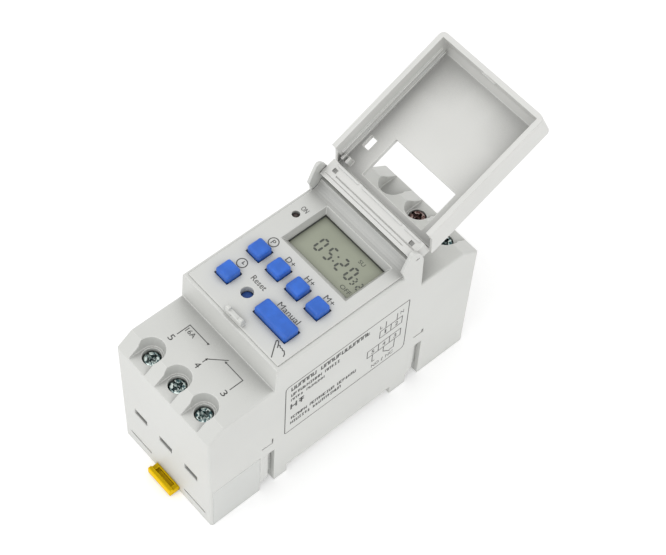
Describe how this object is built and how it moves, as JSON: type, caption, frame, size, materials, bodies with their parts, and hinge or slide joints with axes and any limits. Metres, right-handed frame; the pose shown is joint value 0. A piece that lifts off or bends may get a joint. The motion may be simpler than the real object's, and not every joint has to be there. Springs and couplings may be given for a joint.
{
  "type": "DIN rail timer",
  "caption": "Two-module programmable DIN rail timer with hinged front lid, display, push keys, rail clip and screw terminals.",
  "frame": {"origin": "middle of the face that rests on the DIN rail", "axes": "+Z out of the rail towards the display, +Y along the case towards the lid's hinge, +X across the modules"},
  "size_m": [0.036, 0.1117, 0.086],
  "materials": {
    "case_plastic": "fine satin texture, light warm grey",
    "base_plastic": "fine satin texture, light warm grey",
    "lid_plastic": "fine satin texture, light warm grey",
    "key_blue": "satin blue",
    "clip_yellow": "satin yellow",
    "display_glass": "smooth, grey-green liquid crystal cell",
    "elastomer": "plain",
    "silicone": "plain",
    "carbon_pad": "plain",
    "led_red": "clear tinted dome",
    "board_green": "solder mask",
    "black_plastic": "moulded",
    "relay_black": "smooth",
    "cap_yellow": "box film capacitor",
    "can_sleeve": "shrink sleeve",
    "nickel": "nickel plated",
    "varistor_blue": "dipped",
    "resistor_beige": "lacquered",
    "busbar_brass": "stamped",
    "screw_zinc": "blue passivated zinc",
    "cage_steel": "zinc plated"
  },
  "bodies": {
    "case": {"upper_case": "case_plastic", "base_housing": "base_plastic", "front_panel": "case_plastic", "keypad_mat": "silicone", "key_contacts": "carbon_pad", "lcd_glass": "display_glass", "lcd_frame": "black_plastic", "zebra_strips": "elastomer", "indicator_led": "led_red", "control_board": "board_green", "power_board": "board_green", "board_link": "black_plastic", "controller_chip": "black_plastic", "clock_crystal": "nickel", "relay": "relay_black", "x2_capacitor": "cap_yellow", "electrolytics": "can_sleeve", "backup_battery": "nickel", "varistor": "varistor_blue", "resistors": "resistor_beige", "output_strips": "busbar_brass", "supply_strips": "busbar_brass"},
    "lid": {"lid_cover": "lid_plastic"},
    "clip": {"rail_clip": "clip_yellow"},
    "program_key_cap": {"program_key": "key_blue"},
    "day_key_cap": {"day_key": "key_blue"},
    "hour_key_cap": {"hour_key": "key_blue"},
    "minute_key_cap": {"minute_key": "key_blue"},
    "clock_key_cap": {"clock_key": "key_blue"},
    "manual_key_cap": {"manual_key": "key_blue"},
    "reset_key_cap": {"reset_key": "key_blue"},
    "terminal_5_screw": {"screw_5": "screw_zinc"},
    "terminal_5_cage": {"cage_5": "cage_steel"},
    "terminal_4_screw": {"screw_4": "screw_zinc"},
    "terminal_4_cage": {"cage_4": "cage_steel"},
    "terminal_3_screw": {"screw_3": "screw_zinc"},
    "terminal_3_cage": {"cage_3": "cage_steel"},
    "terminal_2_screw": {"screw_2": "screw_zinc"},
    "terminal_2_cage": {"cage_2": "cage_steel"},
    "terminal_1_screw": {"screw_1": "screw_zinc"},
    "terminal_1_cage": {"cage_1": "cage_steel"}
  },
  "joints": [
    {"name": "lid_hinge", "type": "hinge", "parent": "case", "child": "lid", "pos_m": [0, 0.0214, 0.0583], "axis": [1, 0, 0], "range_deg": [0, 154]},
    {"name": "clip_slide", "type": "slide", "parent": "case", "child": "clip", "axis": [0, -1, 0], "range_m": [0, 0.0025], "stiffness_N_per_m": 900},
    {"name": "program_key_press", "type": "slide", "parent": "case", "child": "program_key_cap", "axis": [0, 0, -1], "range_m": [0, 0.0008], "stiffness_N_per_m": 500},
    {"name": "day_key_press", "type": "slide", "parent": "case", "child": "day_key_cap", "axis": [0, 0, -1], "range_m": [0, 0.0008], "stiffness_N_per_m": 500},
    {"name": "hour_key_press", "type": "slide", "parent": "case", "child": "hour_key_cap", "axis": [0, 0, -1], "range_m": [0, 0.0008], "stiffness_N_per_m": 500},
    {"name": "minute_key_press", "type": "slide", "parent": "case", "child": "minute_key_cap", "axis": [0, 0, -1], "range_m": [0, 0.0008], "stiffness_N_per_m": 500},
    {"name": "clock_key_press", "type": "slide", "parent": "case", "child": "clock_key_cap", "axis": [0, 0, -1], "range_m": [0, 0.0008], "stiffness_N_per_m": 500},
    {"name": "manual_key_press", "type": "slide", "parent": "case", "child": "manual_key_cap", "axis": [0, 0, -1], "range_m": [0, 0.0008], "stiffness_N_per_m": 500},
    {"name": "reset_key_press", "type": "slide", "parent": "case", "child": "reset_key_cap", "axis": [0, 0, -1], "range_m": [0, 0.0008], "stiffness_N_per_m": 500},
    {"name": "cage_5_lift", "type": "slide", "parent": "case", "child": "terminal_5_cage", "axis": [0, 0, 1], "range_m": [0, 0.0024]},
    {"name": "screw_5_turn", "type": "hinge", "parent": "case", "child": "terminal_5_screw", "pos_m": [-0.0102, -0.0396, 0.0399], "axis": [0, 0, -1], "range_deg": [0, 1441]},
    {"name": "cage_4_lift", "type": "slide", "parent": "case", "child": "terminal_4_cage", "axis": [0, 0, 1], "range_m": [0, 0.0024]},
    {"name": "screw_4_turn", "type": "hinge", "parent": "case", "child": "terminal_4_screw", "pos_m": [0, -0.0396, 0.0399], "axis": [0, 0, -1], "range_deg": [0, 1441]},
    {"name": "cage_3_lift", "type": "slide", "parent": "case", "child": "terminal_3_cage", "axis": [0, 0, 1], "range_m": [0, 0.0024]},
    {"name": "screw_3_turn", "type": "hinge", "parent": "case", "child": "terminal_3_screw", "pos_m": [0.0102, -0.0396, 0.0399], "axis": [0, 0, -1], "range_deg": [0, 1441]},
    {"name": "cage_2_lift", "type": "slide", "parent": "case", "child": "terminal_2_cage", "axis": [0, 0, 1], "range_m": [0, 0.0024]},
    {"name": "screw_2_turn", "type": "hinge", "parent": "case", "child": "terminal_2_screw", "pos_m": [0, 0.0396, 0.0399], "axis": [0, 0, -1], "range_deg": [0, 1441]},
    {"name": "cage_1_lift", "type": "slide", "parent": "case", "child": "terminal_1_cage", "axis": [0, 0, 1], "range_m": [0, 0.0024]},
    {"name": "screw_1_turn", "type": "hinge", "parent": "case", "child": "terminal_1_screw", "pos_m": [0.0102, 0.0396, 0.0399], "axis": [0, 0, -1], "range_deg": [0, 1441]}
  ],
  "couplings": [
    {"joint": "screw_5_turn", "follows": "cage_5_lift", "rad_per_m": 10472},
    {"joint": "screw_4_turn", "follows": "cage_4_lift", "rad_per_m": 10472},
    {"joint": "screw_3_turn", "follows": "cage_3_lift", "rad_per_m": 10472},
    {"joint": "screw_2_turn", "follows": "cage_2_lift", "rad_per_m": 10472},
    {"joint": "screw_1_turn", "follows": "cage_1_lift", "rad_per_m": 10472}
  ]
}
